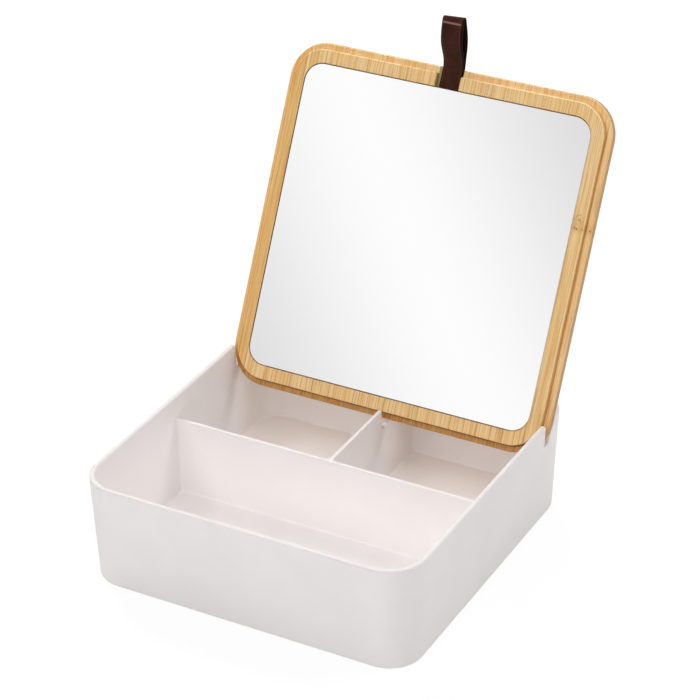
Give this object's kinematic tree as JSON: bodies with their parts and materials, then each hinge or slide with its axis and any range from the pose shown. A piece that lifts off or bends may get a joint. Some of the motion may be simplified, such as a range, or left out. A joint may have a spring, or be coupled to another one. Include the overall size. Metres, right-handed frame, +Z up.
{
  "type": "vanity box with mirror",
  "caption": "Square desk-top vanity box: a divided tray whose bamboo lid stands up in slots and carries a mirror and a leather pull.",
  "frame": {"origin": "centre of the tray's flat underside", "axes": "+Z up, -Y to the front, where the open compartment is; +X to the right as seen from the front"},
  "size_m": [0.2, 0.2563, 0.2521],
  "materials": {
    "tray_plastic": "fine satin, warm white",
    "bamboo": "edge-glued bamboo strips, clear satin lacquer",
    "mirror": "silvered behind clear glass",
    "strap_leather": "dark brown, softly polished"
  },
  "bodies": {
    "tray_body": {"tray": "tray_plastic"},
    "lid_body": {"lid_board": "bamboo", "mirror_glass": "mirror", "pull_strap": "strap_leather"}
  },
  "joints": [
    {"name": "lid_lift", "type": "slide", "parent": "tray_body", "child": "lid_body", "axis": [0, 0.4563, 0.8898], "range_m": [0, 0.028]}
  ]
}
